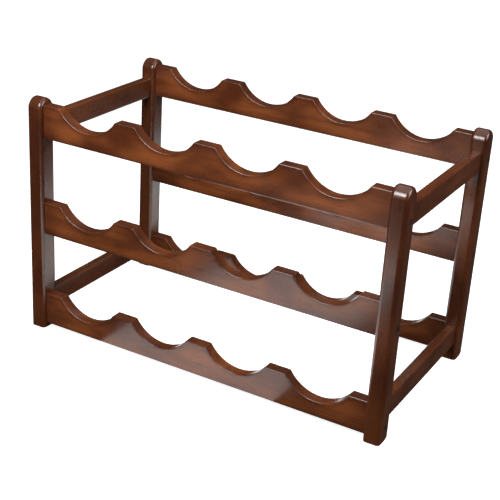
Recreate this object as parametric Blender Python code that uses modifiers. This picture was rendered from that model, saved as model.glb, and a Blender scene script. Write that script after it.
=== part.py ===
"""Three-tier wine rack for twelve bottles, in stained bamboo.

Two end frames, each of two posts and two side rails joined with dowels, carry six scalloped
bottle rails. A countersunk screw through the post and a locating dowel hold each rail end.

Axes: X runs along the rack, Y from front to rear, Z up. The origin is on the floor, under the
middle of the rack. All sizes are in metres.
"""

import math

import bmesh
import bpy
from mathutils import Matrix

# Overall size
LENGTH = 0.474
DEPTH = 0.253
HEIGHT = 0.293

# Posts
POST_WIDTH = 0.020
POST_DEPTH = 0.025
POST_TOP_RADIUS = 0.0105
POST_HEEL_RADIUS = 0.010
POST_EDGE_RADIUS = 0.0045

# Side rails, which join a front post to a rear post
SIDE_RAIL_THICKNESS = 0.012
SIDE_RAIL_HEIGHT = 0.025
SIDE_RAIL_RECESS = 0.0038
SIDE_RAIL_EDGE_RADIUS = 0.0015
TOP_SIDE_RAIL_DROP = 0.0235
BOTTOM_SIDE_RAIL_LIFT = 0.021

# Bottle rails, which run from end frame to end frame
TIERS = ("bottom", "middle", "top")
RAIL_THICKNESS = 0.0145
RAIL_HEIGHT = 0.040
RAIL_RECESS = 0.0052
RAIL_EDGE_RADIUS = 0.001
TOP_RAIL_DROP = 0.007
BOTTOM_RAIL_LIFT = 0.006

# Scallops along a bottle rail, one for each bottle
SCALLOPS = 4
SCALLOP_RADIUS = 0.046
SCALLOP_SAG = 0.021
END_LAND = 0.0225

# Screws, one in each end of a bottle rail
SCREW_HEAD_RADIUS = 0.004
SCREW_SHANK_RADIUS = 0.002
SCREW_LENGTH = 0.040
SCREW_TIP_LENGTH = 0.005
SCREW_RIM = 0.0004
SCREW_SINK = 0.0004
SCREW_ABOVE_RAIL_BOTTOM = 0.0095
DRIVE_SPAN = 0.0044
DRIVE_SLOT = 0.001
DRIVE_DEPTH = 0.0016

# Dowels: one in each end of a bottle rail, two in each end of a side rail
RAIL_DOWEL_RADIUS = 0.0025
RAIL_DOWEL_IN_POST = 0.008
RAIL_DOWEL_IN_RAIL = 0.014
RAIL_DOWEL_ABOVE_SCREW = 0.016
FRAME_DOWEL_RADIUS = 0.003
FRAME_DOWEL_IN_RAIL = 0.015
FRAME_DOWEL_SPACING = 0.012
DOWEL_CHAMFER = 0.0006

# Fits: the gap between any two pieces, the wood left between two crossing holes, and how far
# a cutter runs past the face that it opens
CLEARANCE = 0.0003
WEB = 0.001
OVERRUN = 0.002

# Facets
CORNER_STEPS = 6
SCALLOP_STEPS = 14
SCREW_SIDES = 16
DOWEL_SIDES = 12
SHARP_ANGLE = math.radians(28)
# A little below 0.5, the value of a circle: the post's arch meets its faces in a fine edge.
ARCH_FULLNESS = 0.40

# Sizes that follow from those above
POST_X = (LENGTH - POST_WIDTH) / 2
POST_Y = (DEPTH - POST_DEPTH) / 2
SIDE_RAIL_X = LENGTH / 2 - SIDE_RAIL_RECESS - SIDE_RAIL_THICKNESS / 2
SIDE_RAIL_LENGTH = DEPTH - 2 * (POST_DEPTH + CLEARANCE)
RAIL_LENGTH = LENGTH - 2 * (POST_WIDTH + CLEARANCE)
RAIL_SETBACK = RAIL_RECESS + RAIL_THICKNESS / 2
RAIL_Y = DEPTH / 2 - RAIL_SETBACK
TIER_PITCH = (HEIGHT - TOP_RAIL_DROP - RAIL_HEIGHT - BOTTOM_RAIL_LIFT) / (len(TIERS) - 1)
SCALLOP_WIDTH = 2 * math.sqrt(SCALLOP_RADIUS**2 - (SCALLOP_RADIUS - SCALLOP_SAG) ** 2)
SCALLOP_PITCH = (RAIL_LENGTH - 2 * END_LAND - SCALLOP_WIDTH) / (SCALLOPS - 1)
FRAME_DOWEL_IN_POST = POST_DEPTH - RAIL_SETBACK - RAIL_DOWEL_RADIUS - 2 * CLEARANCE - WEB

SIDES = {"left": -1, "right": 1}
ROWS = {"front": -1, "rear": 1}
SIDE_RAIL_BOTTOMS = {
    "bottom": BOTTOM_SIDE_RAIL_LIFT,
    "top": HEIGHT - TOP_SIDE_RAIL_DROP - SIDE_RAIL_HEIGHT,
}
RAIL_BOTTOMS = {tier: BOTTOM_RAIL_LIFT + level * TIER_PITCH for level, tier in enumerate(TIERS)}


# Scene and materials


def clear_scene():
    for obj in list(bpy.data.objects):
        bpy.data.objects.remove(obj, do_unlink=True)


def new_collection(name):
    collection = bpy.data.collections.new(name)
    bpy.context.scene.collection.children.link(collection)
    return collection


def new_material(name, colour, roughness, metallic=0.0):
    material = bpy.data.materials.new(name)
    material.use_nodes = True
    shader = material.node_tree.nodes["Principled BSDF"]
    shader.inputs["Base Color"].default_value = (*colour, 1.0)
    shader.inputs["Roughness"].default_value = roughness
    shader.inputs["Metallic"].default_value = metallic
    material.diffuse_color = (*colour, 1.0)
    return material


# Placing


def screw_place(side, row, tier):
    """Frame of a rail screw: origin at the top of its head, Z out of the rack's end."""
    x = SIDES[side] * (LENGTH / 2 - SCREW_SINK)
    z = RAIL_BOTTOMS[tier] + SCREW_ABOVE_RAIL_BOTTOM
    turn = Matrix.Rotation(SIDES[side] * math.pi / 2, 4, "Y")
    return Matrix.Translation((x, ROWS[row] * RAIL_Y, z)) @ turn


def rail_dowel_place(side, row, tier):
    """Frame of a rail dowel: origin on the post's inner face, Z into the post."""
    x = SIDES[side] * (LENGTH / 2 - POST_WIDTH)
    z = RAIL_BOTTOMS[tier] + SCREW_ABOVE_RAIL_BOTTOM + RAIL_DOWEL_ABOVE_SCREW
    turn = Matrix.Rotation(SIDES[side] * math.pi / 2, 4, "Y")
    return Matrix.Translation((x, ROWS[row] * RAIL_Y, z)) @ turn


def frame_dowel_place(side, row, level, place):
    """Frame of a frame dowel: origin on the post's inner face, Z into the post."""
    y = ROWS[row] * (DEPTH / 2 - POST_DEPTH)
    middle = SIDE_RAIL_BOTTOMS[level] + SIDE_RAIL_HEIGHT / 2
    z = middle + {"lower": -0.5, "upper": 0.5}[place] * FRAME_DOWEL_SPACING
    turn = Matrix.Rotation(-ROWS[row] * math.pi / 2, 4, "X")
    return Matrix.Translation((SIDES[side] * SIDE_RAIL_X, y, z)) @ turn


# Shapes


def mesh_from(shape):
    mesh = bpy.data.meshes.new("shape")
    shape.to_mesh(mesh)
    shape.free()
    return mesh


def evaluated_mesh(obj):
    """The object's mesh with its modifiers applied. The object is removed."""
    workshop.objects.link(obj)
    graph = bpy.context.evaluated_depsgraph_get()
    mesh = bpy.data.meshes.new_from_object(obj.evaluated_get(graph), depsgraph=graph)
    bpy.data.objects.remove(obj, do_unlink=True)
    return mesh


def block_mesh(length, width, height):
    """A block that stands on its origin's plane, centred in X and Y."""
    shape = bmesh.new()
    bmesh.ops.create_cube(shape, size=1.0)
    bmesh.ops.scale(shape, vec=(length, width, height), verts=shape.verts)
    bmesh.ops.translate(shape, vec=(0, 0, height / 2), verts=shape.verts)
    return mesh_from(shape)


def plate_mesh(outline, thickness):
    """An upright plate: its outline in X and Z, its thickness centred in Y."""
    curve = bpy.data.curves.new("outline", "CURVE")
    curve.dimensions = "2D"
    curve.fill_mode = "BOTH"
    curve.extrude = thickness / 2
    spline = curve.splines.new("POLY")
    spline.points.add(len(outline) - 1)
    for point, (x, z) in zip(spline.points, outline):
        point.co = (x, z, 0, 1)
    spline.use_cyclic_u = True
    shape = bmesh.new()
    shape.from_mesh(evaluated_mesh(bpy.data.objects.new("outline", curve)))
    bmesh.ops.remove_doubles(shape, verts=shape.verts, dist=0.000001)
    bmesh.ops.dissolve_limit(shape, angle_limit=0.001, verts=shape.verts, edges=shape.edges)
    bmesh.ops.transform(shape, matrix=Matrix.Rotation(math.pi / 2, 4, "X"), verts=shape.verts)
    return mesh_from(shape)


def rod_mesh(radius, inward, outward, chamfer=0.0):
    """A round rod along Z, from -inward to outward, with chamfered ends."""
    shape = bmesh.new()
    size = {"segments": DOWEL_SIDES, "radius1": radius, "radius2": radius}
    bmesh.ops.create_cone(shape, cap_ends=True, depth=inward + outward, **size)
    bmesh.ops.translate(shape, vec=(0, 0, (outward - inward) / 2), verts=shape.verts)
    if chamfer:
        rims = [edge for edge in shape.edges if abs(edge.verts[0].co.z - edge.verts[1].co.z) < radius]
        bmesh.ops.bevel(shape, geom=rims, offset=chamfer, segments=1, affect="EDGES")
    return mesh_from(shape)


def turned_mesh(outline):
    """A solid turned about Z from the (radius, height) outline of its side, from the top down."""
    profile = bpy.data.meshes.new("profile")
    points = [(radius, 0, height) for radius, height in outline]
    profile.from_pydata(points, [(i, i + 1) for i in range(len(points) - 1)], [])
    obj = bpy.data.objects.new("turned", profile)
    turn = obj.modifiers.new("turn", "SCREW")
    turn.steps = SCREW_SIDES
    turn.render_steps = SCREW_SIDES
    turn.use_merge_vertices = True
    turn.merge_threshold = 0.00001
    return evaluated_mesh(obj)


def round_long_edges(mesh, axis, radius, steps, fullness=0.5, chosen=lambda middle: True):
    """Rounds the edges that run along one axis and whose middle point is chosen."""
    shape = bmesh.new()
    shape.from_mesh(mesh)
    edges = []
    for edge in shape.edges:
        run = edge.verts[1].co - edge.verts[0].co
        middle = (edge.verts[1].co + edge.verts[0].co) / 2
        if abs(run[axis]) > 0.999 * run.length and chosen(middle):
            edges.append(edge)
    bmesh.ops.bevel(
        shape, geom=edges, offset=radius, segments=steps, profile=fullness, affect="EDGES"
    )
    shape.to_mesh(mesh)
    shape.free()


def softened(mesh, radius, steps):
    """The mesh with every edge rounded that is sharper than the facets of a curve."""
    obj = bpy.data.objects.new("soft", mesh)
    bevel = obj.modifiers.new("soften", "BEVEL")
    bevel.width = radius
    bevel.segments = steps
    bevel.limit_method = "ANGLE"
    bevel.angle_limit = SHARP_ANGLE
    return evaluated_mesh(obj)


def cut(mesh, cutters, operation="DIFFERENCE"):
    """The mesh less all its cutters at once. Each cutter is a mesh and its place."""
    tool = bmesh.new()
    for cutter, place in cutters:
        known = set(tool.verts)
        tool.from_mesh(cutter)
        added = [vertex for vertex in tool.verts if vertex not in known]
        bmesh.ops.transform(tool, matrix=place, verts=added)
    tool_object = bpy.data.objects.new("cutter", mesh_from(tool))
    workshop.objects.link(tool_object)
    obj = bpy.data.objects.new("cut", mesh)
    boolean = obj.modifiers.new("cut", "BOOLEAN")
    boolean.operation = operation
    boolean.object = tool_object
    result = evaluated_mesh(obj)
    bpy.data.objects.remove(tool_object, do_unlink=True)
    return result


def finished(mesh, name):
    mesh.name = name
    mesh.shade_smooth()
    mesh.set_sharp_from_angle(angle=SHARP_ANGLE)
    return mesh


# Fasteners, and the holes that follow them


def screw_outline(gap, top):
    """(radius, height) of the screw's side from its head down, grown by a gap all round."""
    head = SCREW_HEAD_RADIUS + gap
    shank = SCREW_SHANK_RADIUS + gap
    rim = -SCREW_RIM - gap * math.tan(math.pi / 8)
    neck = rim - (head - shank)
    shoulder = SCREW_TIP_LENGTH - SCREW_LENGTH
    slant = math.hypot(SCREW_TIP_LENGTH, SCREW_SHANK_RADIUS) / SCREW_SHANK_RADIUS
    tip = -SCREW_LENGTH - gap * slant
    return [(0, top), (head, top), (head, rim), (shank, neck), (shank, shoulder), (0, tip)]


def screw_mesh():
    below = Matrix.Translation((0, 0, -DRIVE_DEPTH))
    wide = block_mesh(DRIVE_SPAN, DRIVE_SLOT, DRIVE_DEPTH + OVERRUN)
    tall = block_mesh(DRIVE_SLOT, DRIVE_SPAN, DRIVE_DEPTH + OVERRUN)
    slotted = cut(turned_mesh(screw_outline(0.0, 0.0)), [(wide, below)])
    return cut(slotted, [(tall, below)])


def screw_hole_mesh():
    return turned_mesh(screw_outline(CLEARANCE, SCREW_SINK + OVERRUN))


def rail_dowel_mesh(gap=0.0, chamfer=DOWEL_CHAMFER):
    inward = CLEARANCE + RAIL_DOWEL_IN_RAIL + gap
    return rod_mesh(RAIL_DOWEL_RADIUS + gap, inward, RAIL_DOWEL_IN_POST + gap, chamfer)


def frame_dowel_mesh(gap=0.0, chamfer=DOWEL_CHAMFER):
    inward = CLEARANCE + FRAME_DOWEL_IN_RAIL + gap
    return rod_mesh(FRAME_DOWEL_RADIUS + gap, inward, FRAME_DOWEL_IN_POST + gap, chamfer)


def rail_end_holes(side, row, tier):
    """The screw hole and the dowel hole of one end of a bottle rail."""
    screw_hole = (screw_hole_mesh(), screw_place(side, row, tier))
    dowel_hole = (rail_dowel_mesh(CLEARANCE, 0.0), rail_dowel_place(side, row, tier))
    return [screw_hole, dowel_hole]


def side_rail_end_holes(side, row, level):
    """The two dowel holes of one end of a side rail."""
    places = [frame_dowel_place(side, row, level, place) for place in ("lower", "upper")]
    return [(frame_dowel_mesh(CLEARANCE, 0.0), place) for place in places]


def moved(holes, place):
    """The holes as seen from a piece that stands at a place."""
    return [(mesh, place.inverted() @ hole_place) for mesh, hole_place in holes]


# Wooden pieces


def post_place(side, row):
    return Matrix.Translation((SIDES[side] * POST_X, ROWS[row] * POST_Y, 0))


def side_rail_place(side, level):
    return Matrix.Translation((SIDES[side] * SIDE_RAIL_X, 0, SIDE_RAIL_BOTTOMS[level]))


def bottle_rail_place(row, tier):
    return Matrix.Translation((0, ROWS[row] * RAIL_Y, RAIL_BOTTOMS[tier]))


def foot_outline():
    """(y, z) round all that a post may fill: flat below, with its round heel, and open above."""
    half = POST_DEPTH / 2
    outline = [(-half - OVERRUN, 0)]
    for step in range(CORNER_STEPS + 1):
        angle = math.pi / 2 * step / CORNER_STEPS
        y = half - POST_HEEL_RADIUS * (1 - math.sin(angle))
        outline.append((y, POST_HEEL_RADIUS * (1 - math.cos(angle))))
    outline.append((half + OVERRUN, 2 * POST_HEEL_RADIUS))
    outline.append((half + OVERRUN, HEIGHT + OVERRUN))
    return outline + [(-half - OVERRUN, HEIGHT + OVERRUN)]


def post_mesh(side, row):
    """A post with an arched top and a round heel, drilled for its screws and dowels."""

    def is_top(middle):
        return middle.z > HEIGHT / 2

    bar = block_mesh(POST_WIDTH, POST_DEPTH, HEIGHT + POST_DEPTH)
    bar.transform(Matrix.Translation((0, 0, -POST_DEPTH)))
    arch = min(POST_TOP_RADIUS, 0.45 * POST_DEPTH)
    round_long_edges(bar, 0, arch, CORNER_STEPS, ARCH_FULLNESS, is_top)
    bar = softened(bar, POST_EDGE_RADIUS, 4)
    foot = plate_mesh(foot_outline(), POST_WIDTH + 2 * OVERRUN)
    mesh = cut(bar, [(foot, Matrix.Rotation(math.pi / 2, 4, "Z"))], "INTERSECT")
    holes = []
    for tier in TIERS:
        holes += rail_end_holes(side, row, tier)
    for level in SIDE_RAIL_BOTTOMS:
        holes += side_rail_end_holes(side, row, level)
    return cut(mesh, moved(holes, post_place(side, row)))


def side_rail_mesh():
    """A side rail, drilled at both ends. Its origin is under its middle."""
    side, level = "right", "bottom"
    mesh = block_mesh(SIDE_RAIL_THICKNESS, SIDE_RAIL_LENGTH, SIDE_RAIL_HEIGHT)
    round_long_edges(mesh, 1, SIDE_RAIL_EDGE_RADIUS, 2)
    holes = side_rail_end_holes(side, "front", level) + side_rail_end_holes(side, "rear", level)
    return cut(mesh, moved(holes, side_rail_place(side, level)))


def bottle_rail_outline(length):
    """(x, z) round a rail: its bottom edge, then its top edge with a scallop for each bottle."""
    outline = [(-length / 2, 0), (length / 2, 0), (length / 2, RAIL_HEIGHT)]
    half_arc = math.asin(SCALLOP_WIDTH / 2 / SCALLOP_RADIUS)
    centre_z = RAIL_HEIGHT - SCALLOP_SAG + SCALLOP_RADIUS
    for index in reversed(range(SCALLOPS)):
        centre_x = (index - (SCALLOPS - 1) / 2) * SCALLOP_PITCH
        for step in range(SCALLOP_STEPS + 1):
            angle = half_arc * (1 - 2 * step / SCALLOP_STEPS)
            x = centre_x + SCALLOP_RADIUS * math.sin(angle)
            outline.append((x, centre_z - SCALLOP_RADIUS * math.cos(angle)))
    return outline + [(-length / 2, RAIL_HEIGHT)]


def bottle_rail_mesh():
    """A bottle rail: a softened moulding, cut to length and drilled. Its origin is under it."""
    row, tier = "front", "bottom"
    moulding = plate_mesh(bottle_rail_outline(RAIL_LENGTH + 2 * OVERRUN), RAIL_THICKNESS)
    moulding = softened(moulding, RAIL_EDGE_RADIUS, 1)
    saw = block_mesh(RAIL_LENGTH, RAIL_THICKNESS + 2 * OVERRUN, RAIL_HEIGHT + 2 * OVERRUN)
    mesh = cut(moulding, [(saw, Matrix.Translation((0, 0, -OVERRUN)))], "INTERSECT")
    holes = rail_end_holes("left", row, tier) + rail_end_holes("right", row, tier)
    return cut(mesh, moved(holes, bottle_rail_place(row, tier)))


# Assembly


def add_piece(name, mesh, material, place):
    obj = bpy.data.objects.new(name, mesh)
    if not mesh.materials:
        mesh.materials.append(material)
    obj.parent = stand
    obj.matrix_world = place
    rack.objects.link(obj)


def add_posts():
    for row in ROWS:
        for side in SIDES:
            name = f"{row}_{side}_post"
            add_piece(name, finished(post_mesh(side, row), name), bamboo, post_place(side, row))


def add_side_rails():
    rail = finished(side_rail_mesh(), "side_rail")
    dowel = finished(frame_dowel_mesh(), "frame_dowel")
    for side in SIDES:
        for level in SIDE_RAIL_BOTTOMS:
            add_piece(f"{side}_{level}_side_rail", rail, bamboo, side_rail_place(side, level))
            for row in ROWS:
                for place in ("lower", "upper"):
                    name = f"frame_dowel_{side}_{level}_{row}_{place}"
                    add_piece(name, dowel, beech, frame_dowel_place(side, row, level, place))


def add_bottle_rails():
    rail = finished(bottle_rail_mesh(), "bottle_rail")
    screw = finished(screw_mesh(), "rail_screw")
    dowel = finished(rail_dowel_mesh(), "rail_dowel")
    for row in ROWS:
        for tier in TIERS:
            add_piece(f"{row}_{tier}_bottle_rail", rail, bamboo, bottle_rail_place(row, tier))
            for side in SIDES:
                end = f"{row}_{tier}_{side}"
                add_piece(f"rail_screw_{end}", screw, steel, screw_place(side, row, tier))
                add_piece(f"rail_dowel_{end}", dowel, beech, rail_dowel_place(side, row, tier))


clear_scene()
rack = new_collection("wine_rack")
workshop = new_collection("workshop")
stand = bpy.data.objects.new("wine_rack", None)
rack.objects.link(stand)
bamboo = new_material("stained_bamboo", (0.165, 0.052, 0.020), 0.34)
beech = new_material("dowel_beech", (0.560, 0.370, 0.190), 0.60)
steel = new_material("screw_steel", (0.620, 0.560, 0.460), 0.30, 1.0)
add_posts()
add_side_rails()
add_bottle_rails()
bpy.data.collections.remove(workshop)
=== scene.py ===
import math

import bmesh
import bpy
from mathutils import Matrix, Vector


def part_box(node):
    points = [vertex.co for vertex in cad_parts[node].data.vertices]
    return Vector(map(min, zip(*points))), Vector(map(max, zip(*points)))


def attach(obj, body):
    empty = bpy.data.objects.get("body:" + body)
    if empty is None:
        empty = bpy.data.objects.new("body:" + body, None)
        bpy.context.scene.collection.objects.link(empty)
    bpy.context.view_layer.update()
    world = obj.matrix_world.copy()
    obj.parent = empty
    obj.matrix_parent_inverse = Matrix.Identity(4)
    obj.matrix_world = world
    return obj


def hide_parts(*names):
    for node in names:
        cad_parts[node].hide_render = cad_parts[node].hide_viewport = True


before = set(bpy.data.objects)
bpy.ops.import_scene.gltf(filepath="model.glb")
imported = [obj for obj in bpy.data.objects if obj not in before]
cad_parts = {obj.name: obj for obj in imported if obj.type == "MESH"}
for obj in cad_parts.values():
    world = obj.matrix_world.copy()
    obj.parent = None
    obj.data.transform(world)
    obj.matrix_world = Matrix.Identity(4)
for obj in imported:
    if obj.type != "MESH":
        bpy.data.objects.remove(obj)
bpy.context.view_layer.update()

# Everything is in metres, in the CAD frame. Each piece is rebuilt in its CAD node's box.

# Posts. The arch meets the post's faces in a crease, because it is flatter than a quarter circle.
POST_EDGE = 0.0045
POST_EDGE_STEPS = 8
ARCH_RADIUS = 0.01485
ARCH_CREASE = math.radians(15)
ARCH_STEPS = 10
HEEL_RADIUS = 0.010
HEEL_STEPS = 12
# A post is made this much too long below the floor, and then cut to its foot
SHANK_BELOW = 0.030
OVERRUN = 0.004

# Rails
SIDE_RAIL_EDGE = 0.0020
SIDE_RAIL_EDGE_STEPS = 5
SCALLOPS = 4
SCALLOP_RADIUS = 0.046
SCALLOP_SAG = 0.021
SCALLOP_STEPS = 36
END_LAND = 0.0225
LAND_CORNER = 0.0022
RAIL_EDGE = 0.0012
RAIL_EDGE_STEPS = 4

# Screws
HEAD_RADIUS = 0.0040
HEAD_RIM = 0.0004
HEAD_CROWN = 0.00018
HEAD_FACE_SPAN = 0.45
HEAD_FACE_SINK = 0.00003
HEAD_SHOULDER_SINK = 0.00006
SHANK_RADIUS = 0.0014
SCREW_TIP = 0.005
SCREW_SIDES = 48
RECESS_SPAN = 0.0047
RECESS_SLOT = 0.0010
RECESS_DEPTH = 0.0020
RECESS_TAPER = 0.55
RECESS_ABOVE = 0.001

# Dowels. Each flute is a groove over the first two of its four steps.
FLUTES = 14
FLUTE_STEPS = 4
GROOVE_STEPS = 2
FLUTE_DEPTH = 0.00022
DOWEL_CHAMFER = 0.0007

# Holes. A screw hole's rim moves down by this share of the gap, to keep the gap round its corner.
CLEARANCE = 0.0003
HOLE_RADIUS = 0.0020
HOLE_ABOVE = 0.002
HOLE_MITRE = 0.41
SCREW_HOLE_SIDES = 40
DOWEL_HOLE_SIDES = 20

# Toning along a softened edge: how far in from the edge, and how much of it is left there
TONING = ((0.0010, 0.75), (0.0026, 0.35), (0.0050, 0.0))

# Shading: faces that meet at less than this angle shade as one. The posts' creases are shallow.
SMOOTH_UNDER = math.radians(32)
POST_SMOOTH_UNDER = math.radians(13)
FACE_WEIGHT = 100
MERGE_UNDER = 0.000002
SAME_END = 0.00001

# Stained bamboo: the palest and darkest stain on the rails, and on the end frames
PALE, DARK = (0.390, 0.110, 0.030, 1), (0.130, 0.031, 0.008, 1)
DEEP_PALE, DEEP_DARK = (0.190, 0.052, 0.014, 1), (0.090, 0.021, 0.0055, 1)

# Its patterns: scale along the grain, scale across it, detail, roughness and, for one, distortion
BAMBOO_PATTERNS = {
    "streaks": (9.0, 95.0, 4.0, 0.55, 0.3),
    "clouds": (14.0, 26.0, 2.0, 0.5),
    "fibres": (30.0, 1500.0, 3.0, 0.6),
    "pores": (70.0, 2600.0, 2.0, 0.7),
    "smear": (25.0, 60.0, 3.0, 0.6),
    "wander": (60.0, 60.0, 2.0, 0.5),
}

# What goes over its stain: where the pattern starts and is full, how much is laid on at those
# two places, and the colour laid on
CLOUD_BAND = (0.30, 0.68)
STREAK_BAND, STREAK_COLOUR = (0.42, 0.75, 0.0, 0.65), (0.120, 0.028, 0.0085, 1)
FIBRE_BAND, FIBRE_COLOUR = (0.42, 0.70, 0.0, 0.28), (0.085, 0.024, 0.008, 1)
PORE_BAND, PORE_COLOUR = (0.60, 0.72, 0.0, 0.40), (0.040, 0.012, 0.005, 1)
EDGE_BAND, EDGE_COLOUR = (0.25, 0.75, 0.35, 0.75), (0.060, 0.0135, 0.0050, 1)
# Painted shade on a rail's ends by the posts: how much at most, and its colour
END_SHADE_MOST, END_SHADE_COLOUR = 0.55, (0.075, 0.017, 0.0060, 1)

# Its laminated strips, and the rings where the cane had its nodes
STRIP_WIDTH = 0.0067
STRIP_MOST, STRIP_COLOUR = 0.16, (0.10, 0.030, 0.011, 1)
RING_SPACING = 0.19
RING_BAND = (0.0, 0.009, 1.0, 0.0)
RING_MOST, RING_COLOUR = 0.30, (0.060, 0.016, 0.006, 1)

# Its lacquer
WOOD_ROUGHNESS = (0.25, 0.75, 0.23, 0.35)
WOOD_IOR = 1.50
COAT, COAT_ROUGHNESS = 0.6, 0.16
FIBRE_RELIEF, SMEAR_RELIEF, RING_RELIEF = 0.6, 0.9, 0.3
WOOD_BUMP = {"Strength": 0.22, "Distance": 0.0003}

# How far from the rack's middle the painted shade on a rail grows deeper, towards the posts
SIDE_RAIL_SHADED_ENDS = (0.080, 0.104)
BOTTLE_RAIL_SHADED_ENDS = (0.185, 0.222)

# Beech
BEECH_GRAIN = ((420.0, 420.0, 420.0), 3.0, 0.6)
BEECH_FLECKS = ((900.0, 900.0, 900.0), 2.0, 0.6)
BEECH_BAND = (0.3, 0.7)
BEECH_DARK, BEECH_PALE = (0.50, 0.32, 0.17, 1), (0.66, 0.46, 0.27, 1)
FLECK_BAND, FLECK_COLOUR = (0.62, 0.72, 0.0, 0.5), (0.30, 0.16, 0.08, 1)
BEECH_ROUGHNESS = (0.3, 0.7, 0.55, 0.72)
BEECH_BUMP = {"Strength": 0.3, "Distance": 0.0002}

# Yellow zinc
ZINC_TINT = ((700.0, 700.0, 700.0), 3.0, 0.5)
ZINC_SCRATCHES = ((400.0, 5200.0, 900.0), 2.0, 0.6)
ZINC_BAND = (0.35, 0.65)
ZINC_DARK, ZINC_PALE = (0.40, 0.36, 0.27, 1), (0.56, 0.53, 0.46, 1)
ZINC_ROUGHNESS = (0.3, 0.7, 0.18, 0.36)
ZINC_BUMP = {"Strength": 0.25, "Distance": 0.00005}

# Stage
STAGE_WHITE = (0.85, 0.85, 0.85, 1)
STAGE_ROUGHNESS = 0.9
FLOOR_LOW, FLOOR_HIGH = (-12, -12), (12, 12)
FLOOR_GLOW = 0.90
# A glowing white sheet over the floor that only the lacquer's reflections see: a painted reflection, not a
# lamp
REFLECTION_SHEET_LOW, REFLECTION_SHEET_HIGH = (-0.14, -0.60), (0.10, 0.65)
REFLECTION_SHEET_HEIGHT = 0.0004
REFLECTION_SHEET_GLOW = 0.8
WORLD_STRENGTH = 0.03

# Lights: name, place, what they point at, size and power
LIGHTS = (
    ("key", (-0.15, -0.80, 0.90), (0, -0.1, 0.2), (0.6, 0.35), 9.5),
    ("fill", (1.5, 0.1, 1.1), (0, 0, 0.2), (1.0, 1.0), 16),
    ("top", (0.0, 0.4, 2.6), (0, 0.3, 0), (3.0, 3.0), 25),
)

# Camera: to the right of the front, above, and a little rolled
CAMERA_PLACE = (0.5974, -1.1031, 0.6790)
CAMERA_ANGLES = (28.535, 23.981, 3.611)
CAMERA_SENSOR, CAMERA_LENS = 36, 82.11
CAMERA_SHIFT = (-0.0004, -0.0007)


# Meshes


def rounded(corners, steps):
    """(place, corner's index) round an outline of (u, v, radius) corners, each rounded to its radius."""
    outline = []
    for index, (u, v, radius) in enumerate(corners):
        corner = Vector((u, v))
        if radius == 0:
            outline.append((corner, index))
            continue
        before = (Vector(corners[index - 1][:2]) - corner).normalized()
        after = (Vector(corners[(index + 1) % len(corners)][:2]) - corner).normalized()
        half = before.angle(after) / 2
        run = radius / math.tan(half)
        centre = corner + (before + after).normalized() * radius / math.sin(half)
        start = corner + before * run - centre
        turn = start.angle_signed(corner + after * run - centre)
        for step in range(steps + 1):
            spoke = Matrix.Rotation(-turn * step / steps, 2) @ start
            outline.append((centre + spoke, index))
    return outline


def inward(outline, square_ends):
    """For each point, the way it moves as the outline shrinks by one unit."""
    area = sum(a.x * b.y - b.x * a.y for a, b in zip(outline, outline[1:] + outline[:1]))
    sign = 1 if area > 0 else -1
    furthest = max(abs(point.x) for point in outline)
    ways = []
    for index, point in enumerate(outline):
        back = (point - outline[index - 1]).normalized()
        on = (outline[(index + 1) % len(outline)] - point).normalized()
        first = sign * Vector((-back.y, back.x))
        second = sign * Vector((-on.y, on.x))
        way = (first + second) / (1 + first.dot(second))
        if square_ends and abs(point.x) > furthest - SAME_END:
            way = Vector((0, math.copysign(1, way.y)))
        ways.append(way)
    return ways


def shrunk(corners, steps, square_ends):
    """A function that gives the rounded outline, shrunk by a distance."""
    sharp = [Vector(corner[:2]) for corner in corners]
    sharp_ways = inward(sharp, square_ends)
    outline = rounded(corners, steps)
    ways = inward([place for place, _ in outline], square_ends)

    def at(distance):
        places = []
        for (place, index), way in zip(outline, ways):
            if corners[index][2] >= distance:
                places.append(place + way * distance)
            else:
                places.append(sharp[index] + sharp_ways[index] * distance)
        return places

    return at


def plate(corners, thickness, edge, steps, square_ends=False):
    """A plate along X and Z, centred in Y, its rims rounded. Its tone attribute is 1 at the rims."""
    outline_at = shrunk(corners, steps, square_ends)
    rings = [(edge + distance, thickness / 2, tone) for distance, tone in reversed(TONING)]
    for step in reversed(range(steps + 1)):
        angle = step / steps * math.pi / 2
        depth = thickness / 2 - edge * (1 - math.sin(angle))
        rings.append((edge * (1 - math.cos(angle)), depth, 1.0))
    rings += [(shrink, -depth, tone) for shrink, depth, tone in reversed(rings)]
    shape = bmesh.new()
    layer = shape.verts.layers.float.new("tone")
    loops = []
    for shrink, depth, tone in rings:
        loop = [shape.verts.new((place.x, -depth, place.y)) for place in outline_at(shrink)]
        for vertex in loop:
            vertex[layer] = tone
        loops.append(loop)
    for one, other in zip(loops, loops[1:]):
        for index in range(len(one)):
            shape.faces.new((one[index - 1], one[index], other[index], other[index - 1]))
    shape.faces.new(loops[0])
    shape.faces.new(loops[-1])
    bmesh.ops.remove_doubles(shape, verts=shape.verts, dist=MERGE_UNDER)
    bmesh.ops.recalc_face_normals(shape, faces=shape.faces)
    return to_mesh(shape)


def to_mesh(shape):
    mesh = bpy.data.meshes.new("shape")
    shape.to_mesh(mesh)
    shape.free()
    return mesh


def lathe(profile, sides):
    """A solid turned about Z from its (radius, height) profile, which starts and ends on the axis."""
    shape = bmesh.new()
    rings = []
    for radius, height in profile:
        if radius == 0:
            rings.append([shape.verts.new((0, 0, height))])
            continue
        turns = [2 * math.pi * side / sides for side in range(sides)]
        places = [(radius * math.cos(turn), radius * math.sin(turn), height) for turn in turns]
        rings.append([shape.verts.new(place) for place in places])
    for one, other in zip(rings, rings[1:]):
        for side in range(sides):
            corners = [one[side - 1], one[side]] if len(one) > 1 else one[:]
            corners += [other[side], other[side - 1]] if len(other) > 1 else other[:]
            shape.faces.new(corners)
    bmesh.ops.recalc_face_normals(shape, faces=shape.faces)
    return to_mesh(shape)


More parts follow.
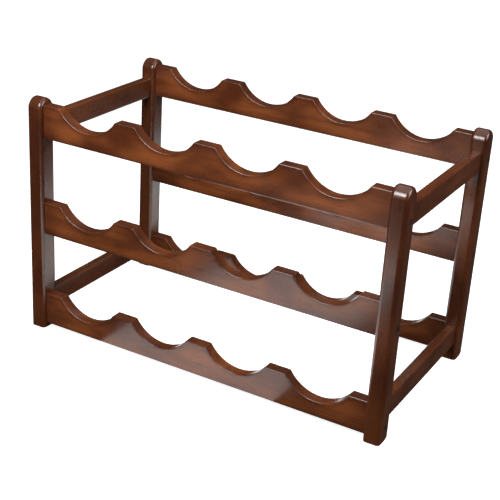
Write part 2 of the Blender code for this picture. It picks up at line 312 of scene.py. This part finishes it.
def applied(obj):
    """The object's mesh with its modifiers applied. The object is removed."""
    bpy.context.scene.collection.objects.link(obj)
    graph = bpy.context.evaluated_depsgraph_get()
    mesh = bpy.data.meshes.new_from_object(obj.evaluated_get(graph), depsgraph=graph)
    bpy.data.objects.remove(obj, do_unlink=True)
    return mesh


def cut(mesh, cutters):
    """The mesh less its cutters, each a mesh and its place."""
    tool = bmesh.new()
    for cutter, place in cutters:
        known = len(tool.verts)
        tool.from_mesh(cutter)
        tool.verts.ensure_lookup_table()
        bmesh.ops.transform(tool, matrix=place, verts=tool.verts[known:])
    tool_object = bpy.data.objects.new("cutter", to_mesh(tool))
    bpy.context.scene.collection.objects.link(tool_object)
    obj = bpy.data.objects.new("cut", mesh)
    boolean = obj.modifiers.new("cut", "BOOLEAN")
    boolean.object = tool_object
    result = applied(obj)
    bpy.data.objects.remove(tool_object, do_unlink=True)
    return result


def smoothed(mesh, under):
    """The mesh shaded smooth, with its flat faces and creases kept crisp."""
    mesh.shade_smooth()
    mesh.set_sharp_from_angle(angle=under)
    obj = bpy.data.objects.new("smooth", mesh)
    weighted = obj.modifiers.new("weighted", "WEIGHTED_NORMAL")
    weighted.keep_sharp = True
    weighted.weight = FACE_WEIGHT
    return applied(obj)


# The frame's places


def middle_of(node):
    low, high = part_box(node)
    return (low + high) / 2


def size_of(node):
    low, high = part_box(node)
    return high - low


def rail_screws(row, side):
    return [f"rail_screw_{row}_{tier}_{side}" for tier in ("bottom", "middle", "top")]


def rail_dowels(row, side):
    return [f"rail_dowel_{row}_{tier}_{side}" for tier in ("bottom", "middle", "top")]


def frame_dowels(side, level, row):
    return [f"frame_dowel_{side}_{level}_{row}_{place}" for place in ("lower", "upper")]


def screw_place(node):
    """Origin at the top of the head, Z out of the rack's end."""
    low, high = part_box(node)
    middle = (low + high) / 2
    side = 1 if middle.x > 0 else -1
    x = high.x if side > 0 else low.x
    return Matrix.Translation((x, middle.y, middle.z)) @ Matrix.Rotation(side * math.pi / 2, 4, "Y")


def dowel_place(node):
    """Origin in the dowel's middle, Z along it."""
    size = size_of(node)
    turn = Matrix.Rotation(math.pi / 2, 4, "Y" if size.x > size.y else "X")
    return Matrix.Translation(middle_of(node)) @ turn


# Fasteners


def screw_length():
    return size_of("rail_screw_front_top_left").x


def screw_hole(node):
    """A screw's hole: the head's countersink, then a plain bore to a point, a gap wider than they need."""
    head = HEAD_RADIUS + CLEARANCE
    bore = HOLE_RADIUS + CLEARANCE
    length = screw_length() + CLEARANCE
    rim = -HEAD_RIM - CLEARANCE * HOLE_MITRE
    neck = rim - (head - bore)
    profile = [(0, HOLE_ABOVE), (head, HOLE_ABOVE), (head, rim)]
    profile += [(bore, neck), (bore, SCREW_TIP - length), (0, -length - CLEARANCE)]
    return lathe(profile, SCREW_HOLE_SIDES), screw_place(node)


def dowel_hole(node):
    size = size_of(node)
    half = max(size.x, size.y) / 2 + CLEARANCE
    radius = size.z / 2 + CLEARANCE
    profile = [(0, half), (radius, half), (radius, -half), (0, -half)]
    return lathe(profile, DOWEL_HOLE_SIDES), dowel_place(node)


def holes_for(screws, dowels):
    return [screw_hole(node) for node in screws] + [dowel_hole(node) for node in dowels]


def screw_mesh():
    """A countersunk screw with a cross recess, its head's edge softened. Its thread is not modelled."""
    length = screw_length()
    neck = -HEAD_RIM - (HEAD_RADIUS - SHANK_RADIUS)
    profile = [(0, -HEAD_FACE_SINK), (HEAD_RADIUS * HEAD_FACE_SPAN, -HEAD_FACE_SINK)]
    profile += [(HEAD_RADIUS - HEAD_CROWN, -HEAD_SHOULDER_SINK)]
    profile += [(HEAD_RADIUS - HEAD_CROWN / 3, -HEAD_CROWN / 2), (HEAD_RADIUS, -HEAD_CROWN)]
    profile += [(HEAD_RADIUS, -HEAD_RIM), (SHANK_RADIUS, neck)]
    profile += [(SHANK_RADIUS, SCREW_TIP - length), (0, -length)]
    return cut(lathe(profile, SCREW_SIDES), [(recess_mesh(), Matrix.Identity(4))])


def recess_mesh():
    """The cross recess: two tapered slots that cross in a narrow well."""
    shape = bmesh.new()
    for across, along_slot in ((RECESS_SPAN, RECESS_SLOT), (RECESS_SLOT, RECESS_SPAN)):
        for vertex in bmesh.ops.create_cube(shape, size=1.0)["verts"]:
            upper = vertex.co.z > 0
            narrow = 1.0 if upper else RECESS_TAPER
            vertex.co.x *= across * narrow
            vertex.co.y *= along_slot * narrow
            vertex.co.z = RECESS_ABOVE if upper else -RECESS_DEPTH
    return to_mesh(shape)


def dowel_mesh(length, radius):
    """A fluted dowel with chamfered ends."""
    shape = bmesh.new()
    rings = []
    half = length / 2
    full = half - DOWEL_CHAMFER
    for height, inset in ((-half, DOWEL_CHAMFER), (-full, 0), (full, 0), (half, DOWEL_CHAMFER)):
        ring = []
        for step in range(FLUTE_STEPS * FLUTES):
            depth = FLUTE_DEPTH if step % FLUTE_STEPS < GROOVE_STEPS else 0
            turn = 2 * math.pi * step / (FLUTE_STEPS * FLUTES)
            at = radius - depth - inset
            ring.append(shape.verts.new((at * math.cos(turn), at * math.sin(turn), height)))
        rings.append(ring)
    for one, other in zip(rings, rings[1:]):
        for step in range(len(one)):
            shape.faces.new((one[step - 1], one[step], other[step], other[step - 1]))
    shape.faces.new(rings[0])
    shape.faces.new(rings[-1])
    bmesh.ops.recalc_face_normals(shape, faces=shape.faces)
    return to_mesh(shape)


# Wooden pieces


def arc(centre, radius, start, end, steps):
    turns = [start + (end - start) * step / steps for step in range(steps + 1)]
    return [(centre[0] + radius * math.cos(t), centre[1] + radius * math.sin(t), 0.0) for t in turns]


def post_outline(depth, height):
    """(y, z) round a post seen from the end: its sides from below the floor, and its arched top."""
    half = depth / 2
    quarter = math.pi / 2
    inset = ARCH_RADIUS * math.cos(ARCH_CREASE)
    first, last = ARCH_CREASE, quarter - ARCH_CREASE
    outline = [(-half, -SHANK_BELOW, 0), (half, -SHANK_BELOW, 0)]
    outline += arc((half - inset, height - inset), ARCH_RADIUS, first, last, ARCH_STEPS)
    outline += arc((inset - half, height - inset), ARCH_RADIUS, quarter + first, quarter + last, ARCH_STEPS)
    return outline


def foot_cutter(width, depth):
    """What is cut away below a post: all that lies under the floor, and the corner behind its round heel."""
    half = depth / 2
    beyond = half + OVERRUN
    heel = arc((half - HEEL_RADIUS, HEEL_RADIUS), HEEL_RADIUS, -math.pi / 2, 0, HEEL_STEPS)
    profile = [(-beyond, 0)] + [corner[:2] for corner in heel]
    profile += [(beyond, HEEL_RADIUS), (beyond, -2 * SHANK_BELOW), (-beyond, -2 * SHANK_BELOW)]
    return prism(profile, width + 2 * OVERRUN)


def prism(profile, thickness):
    """A flat-ended solid along X from its (y, z) profile."""
    shape = bmesh.new()
    ends = [[shape.verts.new((x, y, z)) for y, z in profile] for x in (-thickness / 2, thickness / 2)]
    for index in range(len(profile)):
        shape.faces.new((ends[0][index - 1], ends[0][index], ends[1][index], ends[1][index - 1]))
    for end in ends:
        shape.faces.new(end)
    bmesh.ops.recalc_face_normals(shape, faces=shape.faces)
    return to_mesh(shape)


def add_post(row, side):
    node = f"{row}_{side}_post"
    size = size_of(node)
    low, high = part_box(node)
    mesh = plate(post_outline(size.y, size.z), size.x, POST_EDGE, POST_EDGE_STEPS)
    place = Matrix.Translation(((low.x + high.x) / 2, (low.y + high.y) / 2, low.z))
    mesh.transform(place @ Matrix.Rotation(math.pi / 2, 4, "Z"))
    cutters = [(foot_cutter(size.x, size.y), place)]
    dowels = rail_dowels(row, side)
    for level in ("bottom", "top"):
        dowels += frame_dowels(side, level, row)
    cutters += holes_for(rail_screws(row, side), dowels)
    return add_piece(node, cut(mesh, cutters), POST_WOOD, POST_SMOOTH_UNDER)


def add_side_rail(side, level):
    node = f"{side}_{level}_side_rail"
    size = size_of(node)
    x, z = size.x / 2, size.z / 2
    corners = [(-x, -z), (x, -z), (x, z), (-x, z)]
    corners = [(u, v, SIDE_RAIL_EDGE) for u, v in corners]
    section = [tuple(place) for place, _ in rounded(corners, SIDE_RAIL_EDGE_STEPS)]
    mesh = prism(section, size.y)
    mesh.transform(Matrix.Translation(middle_of(node)) @ Matrix.Rotation(math.pi / 2, 4, "Z"))
    dowels = frame_dowels(side, level, "front") + frame_dowels(side, level, "rear")
    return add_piece(node, cut(mesh, holes_for([], dowels)), SIDE_WOOD)


def bottle_rail_outline(length, height):
    """(x, z) round a rail: its straight foot, then its top edge with a scallop for each bottle."""
    half_arc = math.acos(1 - SCALLOP_SAG / SCALLOP_RADIUS)
    width = 2 * SCALLOP_RADIUS * math.sin(half_arc)
    pitch = (length - 2 * END_LAND - width) / (SCALLOPS - 1)
    centre_z = height - SCALLOP_SAG + SCALLOP_RADIUS
    outline = [(-length / 2, 0, 0), (length / 2, 0, 0), (length / 2, height, 0)]
    for index in reversed(range(SCALLOPS)):
        centre = ((index - (SCALLOPS - 1) / 2) * pitch, centre_z)
        down = -math.pi / 2
        scallop = arc(centre, SCALLOP_RADIUS, down + half_arc, down - half_arc, SCALLOP_STEPS)
        for at in (0, -1):
            scallop[at] = (*scallop[at][:2], LAND_CORNER)
        outline += scallop
    outline.append((-length / 2, height, 0))
    return outline


def add_bottle_rail(row, tier):
    node = f"{row}_{tier}_bottle_rail"
    size = size_of(node)
    low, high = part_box(node)
    outline = bottle_rail_outline(size.x, size.z)
    mesh = plate(outline, size.y, RAIL_EDGE, RAIL_EDGE_STEPS, square_ends=True)
    mesh.transform(Matrix.Translation(((low.x + high.x) / 2, (low.y + high.y) / 2, low.z)))
    screws = [f"rail_screw_{row}_{tier}_{side}" for side in ("left", "right")]
    dowels = [f"rail_dowel_{row}_{tier}_{side}" for side in ("left", "right")]
    return add_piece(node, cut(mesh, holes_for(screws, dowels)), RAIL_WOOD)


def add_piece(node, mesh, material, smooth_under=SMOOTH_UNDER):
    mesh = smoothed(mesh, smooth_under)
    mesh.name = node
    mesh.materials.clear()
    mesh.materials.append(material)
    piece = bpy.data.objects.new(f"{node}_fine", mesh)
    bpy.context.scene.collection.objects.link(piece)
    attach(piece, "root")
    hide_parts(node)
    return piece


# Materials


class Nodes:
    """A material's node tree, with one short call for each kind of node."""

    def __init__(self, name):
        self.material = bpy.data.materials.new(name)
        self.material.use_nodes = True
        self.tree = self.material.node_tree
        self.shader = self.tree.nodes["Principled BSDF"]

    def add(self, kind, inputs=(), **settings):
        node = self.tree.nodes.new(f"ShaderNode{kind}")
        for name, value in settings.items():
            setattr(node, name, value)
        for key, value in dict(inputs).items():
            self.put(node.inputs[key], value)
        return node

    def put(self, socket, value):
        if isinstance(value, bpy.types.NodeSocket):
            self.tree.links.new(value, socket)
        else:
            socket.default_value = value

    def math(self, operation, *values):
        return self.add("Math", enumerate(values), operation=operation).outputs[0]

    def stretched(self, scale):
        where = self.add("TexCoord").outputs["Object"]
        return self.add("Mapping", {"Vector": where, "Scale": scale}).outputs["Vector"]

    def noise(self, scale, detail, roughness, distortion=0.0):
        inputs = {"Vector": self.stretched(scale), "Scale": 1.0, "Detail": detail}
        inputs.update({"Roughness": roughness, "Distortion": distortion})
        return self.add("TexNoise", inputs).outputs["Fac"]

    def band(self, value, start, end, low=0.0, high=1.0):
        inputs = {"Value": value, "From Min": start, "From Max": end, "To Min": low, "To Max": high}
        return self.add("MapRange", inputs, interpolation_type="SMOOTHSTEP").outputs["Result"]

    def mix(self, factor, first, second):
        """The first colour, or the second where the factor is 1. A colour mix uses its inputs 0, 6 and 7."""
        node = self.add("Mix", data_type="RGBA", blend_type="MIX", clamp_factor=True)
        self.put(node.inputs[0], factor)
        self.put(node.inputs[6], first)
        self.put(node.inputs[7], second)
        return node.outputs[2]

    def finish(self, colour, roughness, height, bump):
        """Gives the shader its colour, its roughness and a bump from a height."""
        self.put(self.shader.inputs["Base Color"], colour)
        self.put(self.shader.inputs["Roughness"], roughness)
        normal = self.add("Bump", {**bump, "Height": height}).outputs["Normal"]
        self.put(self.shader.inputs["Normal"], normal)


def along(axis, grain, across):
    """Texture scales: grain along one axis, across on the other two."""
    return tuple(grain if index == axis else across for index in range(3))


def stained_bamboo(name, axis, strip_axis, pale, dark, ends=None):
    """Walnut-stained bamboo under a satin lacquer, its grain along an axis, with painted shade towards its
    ends where ends are given.
    """
    nodes = Nodes(name)
    where = nodes.add("SeparateXYZ", {0: nodes.add("TexCoord").outputs["Object"]}).outputs
    pattern = {}
    for kind, (grain, across, *look) in BAMBOO_PATTERNS.items():
        pattern[kind] = nodes.noise(along(axis, grain, across), *look)
    # uneven stain, with broad streaks
    colour = nodes.mix(nodes.band(pattern["clouds"], *CLOUD_BAND), dark, pale)
    colour = nodes.mix(nodes.band(pattern["streaks"], *STREAK_BAND), colour, STREAK_COLOUR)
    # laminated strips, each with its own tone and the faint rings of its nodes
    strip = nodes.math("FLOOR", nodes.math("MULTIPLY", where[strip_axis], 1 / STRIP_WIDTH))
    shade = nodes.add("TexWhiteNoise", {"W": strip}, noise_dimensions="1D").outputs["Value"]
    colour = nodes.mix(nodes.math("MULTIPLY", shade, STRIP_MOST), colour, STRIP_COLOUR)
    ring = nodes.math("ADD", nodes.math("MULTIPLY", where[axis], 1 / RING_SPACING), shade)
    ring = nodes.math("SUBTRACT", nodes.math("FRACT", ring), 0.5)
    ring = nodes.band(nodes.math("ABSOLUTE", ring), *RING_BAND)
    colour = nodes.mix(nodes.math("MULTIPLY", ring, RING_MOST), colour, RING_COLOUR)
    # fine fibres
    colour = nodes.mix(nodes.band(pattern["fibres"], *FIBRE_BAND), colour, FIBRE_COLOUR)
    colour = nodes.mix(nodes.band(pattern["pores"], *PORE_BAND), colour, PORE_COLOUR)
    # stain sprayed deeper along the edges, and painted shade on a rail's ends by the posts
    tone = nodes.add("Attribute", attribute_name="tone", attribute_type="GEOMETRY").outputs["Fac"]
    deep = nodes.math("MULTIPLY", tone, nodes.band(pattern["wander"], *EDGE_BAND))
    colour = nodes.mix(deep, colour, EDGE_COLOUR)
    # painted shade: the rail darker towards the posts
    if ends:
        end_shade = nodes.band(nodes.math("ABSOLUTE", where[axis]), *ends, 0.0, END_SHADE_MOST)
        colour = nodes.mix(end_shade, colour, END_SHADE_COLOUR)
    fibre_height = nodes.math("MULTIPLY", pattern["fibres"], FIBRE_RELIEF)
    height = nodes.math("ADD", fibre_height, nodes.math("MULTIPLY", pattern["smear"], SMEAR_RELIEF))
    height = nodes.math("SUBTRACT", height, nodes.math("MULTIPLY", ring, RING_RELIEF))
    nodes.finish(colour, nodes.band(pattern["smear"], *WOOD_ROUGHNESS), height, WOOD_BUMP)
    nodes.shader.inputs["IOR"].default_value = WOOD_IOR
    nodes.shader.inputs["Coat Weight"].default_value = COAT
    nodes.shader.inputs["Coat Roughness"].default_value = COAT_ROUGHNESS
    return nodes.material


def beech():
    """Bare turned beech, its grain and flecks much the same all round the dowel."""
    nodes = Nodes("dowel_beech")
    grain = nodes.noise(*BEECH_GRAIN)
    flecks = nodes.noise(*BEECH_FLECKS)
    colour = nodes.mix(nodes.band(grain, *BEECH_BAND), BEECH_DARK, BEECH_PALE)
    colour = nodes.mix(nodes.band(flecks, *FLECK_BAND), colour, FLECK_COLOUR)
    nodes.finish(colour, nodes.band(grain, *BEECH_ROUGHNESS), grain, BEECH_BUMP)
    return nodes.material


def yellow_zinc():
    """Yellow passivated steel, a little uneven and scratched."""
    nodes = Nodes("screw_steel")
    tint = nodes.noise(*ZINC_TINT)
    scratches = nodes.noise(*ZINC_SCRATCHES)
    colour = nodes.mix(nodes.band(tint, *ZINC_BAND), ZINC_DARK, ZINC_PALE)
    nodes.finish(colour, nodes.band(scratches, *ZINC_ROUGHNESS), scratches, ZINC_BUMP)
    nodes.shader.inputs["Metallic"].default_value = 1.0
    return nodes.material


# Stage, camera and lights


def add_stage():
    """A white floor, and a glowing white sheet that only the lacquer's reflections see: a painted reflection
    of a table top in its place.

    Neither throws light on the rack: its light is the three lamps' and the faint world's.
    """
    floor = stage_sheet("floor", FLOOR_LOW, FLOOR_HIGH, 0, FLOOR_GLOW)
    floor.visible_glossy = False
    floor.visible_diffuse = False
    # painted reflection: a glowing sheet that only glossy rays see
    reflection_sheet = stage_sheet("painted_reflection_sheet", REFLECTION_SHEET_LOW, REFLECTION_SHEET_HIGH, REFLECTION_SHEET_HEIGHT, REFLECTION_SHEET_GLOW)
    reflection_sheet.visible_camera = False
    reflection_sheet.visible_diffuse = False
    reflection_sheet.visible_shadow = False


def stage_sheet(name, low, high, z, glow):
    """A white rectangle that glows a little, as an overexposed white does. Where only reflections see it,
    its glow is a painted reflection.
    """
    shape = bmesh.new()
    corners = [low, (high[0], low[1]), high, (low[0], high[1])]
    shape.faces.new([shape.verts.new((x, y, z)) for x, y in corners])
    sheet = bpy.data.objects.new(name, to_mesh(shape))
    nodes = Nodes(f"{name}_white")
    nodes.shader.inputs["Base Color"].default_value = STAGE_WHITE
    nodes.shader.inputs["Roughness"].default_value = STAGE_ROUGHNESS
    nodes.shader.inputs["Emission Color"].default_value = (1, 1, 1, 1)
    nodes.shader.inputs["Emission Strength"].default_value = glow
    bpy.context.scene.collection.objects.link(sheet)
    sheet.data.materials.append(nodes.material)
    return sheet


def add_light(name, place, target, size, power):
    light = bpy.data.lights.new(name, "AREA")
    light.shape = "RECTANGLE"
    light.size, light.size_y = size
    light.energy = power
    obj = bpy.data.objects.new(name, light)
    obj.location = place
    obj.rotation_euler = (Vector(target) - Vector(place)).to_track_quat("-Z", "Y").to_euler()
    bpy.context.scene.collection.objects.link(obj)


def add_world():
    world = bpy.data.worlds.new("studio")
    world.use_nodes = True
    background = world.node_tree.nodes["Background"]
    background.inputs["Color"].default_value = (1, 1, 1, 1)
    background.inputs["Strength"].default_value = WORLD_STRENGTH
    bpy.context.scene.world = world


def add_camera():
    """The camera at the photograph's viewing angle: azimuth from the front, elevation and roll."""
    azimuth, elevation, roll = (math.radians(angle) for angle in CAMERA_ANGLES)
    back = Vector((math.sin(azimuth), -math.cos(azimuth), 0)) * math.cos(elevation)
    back.z = math.sin(elevation)
    right = Vector((math.cos(azimuth), math.sin(azimuth), 0))
    up = back.cross(right)
    turned = Matrix((right, up, back)).transposed() @ Matrix.Rotation(roll, 3, "Z")
    camera = bpy.data.cameras.new("camera")
    camera.sensor_width = CAMERA_SENSOR
    camera.lens = CAMERA_LENS
    camera.shift_x, camera.shift_y = CAMERA_SHIFT
    obj = bpy.data.objects.new("camera", camera)
    obj.matrix_world = Matrix.Translation(CAMERA_PLACE) @ turned.to_4x4()
    bpy.context.scene.collection.objects.link(obj)
    bpy.context.scene.camera = obj


POST_WOOD = stained_bamboo("stained_bamboo_posts", 2, 1, DEEP_PALE, DEEP_DARK)
SIDE_WOOD = stained_bamboo("stained_bamboo_side_rails", 1, 2, DEEP_PALE, DEEP_DARK, SIDE_RAIL_SHADED_ENDS)
RAIL_WOOD = stained_bamboo("stained_bamboo_bottle_rails", 0, 2, PALE, DARK, BOTTLE_RAIL_SHADED_ENDS)
BEECH = beech()
STEEL = yellow_zinc()

for row in ("front", "rear"):
    for side in ("left", "right"):
        add_post(row, side)
    for tier in ("bottom", "middle", "top"):
        add_bottle_rail(row, tier)
for side in ("left", "right"):
    for level in ("bottom", "top"):
        add_side_rail(side, level)
screw = screw_mesh()
for node in sorted(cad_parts):
    if node.startswith("rail_screw"):
        mesh = screw.copy()
        mesh.transform(screw_place(node))
        add_piece(node, mesh, STEEL)
    if "_dowel_" in node:
        size = size_of(node)
        mesh = dowel_mesh(max(size.x, size.y), size.z / 2)
        mesh.transform(dowel_place(node))
        add_piece(node, mesh, BEECH)

add_stage()
add_world()
add_camera()
for light in LIGHTS:
    add_light(*light)
bpy.context.scene.view_settings.view_transform = "Standard"
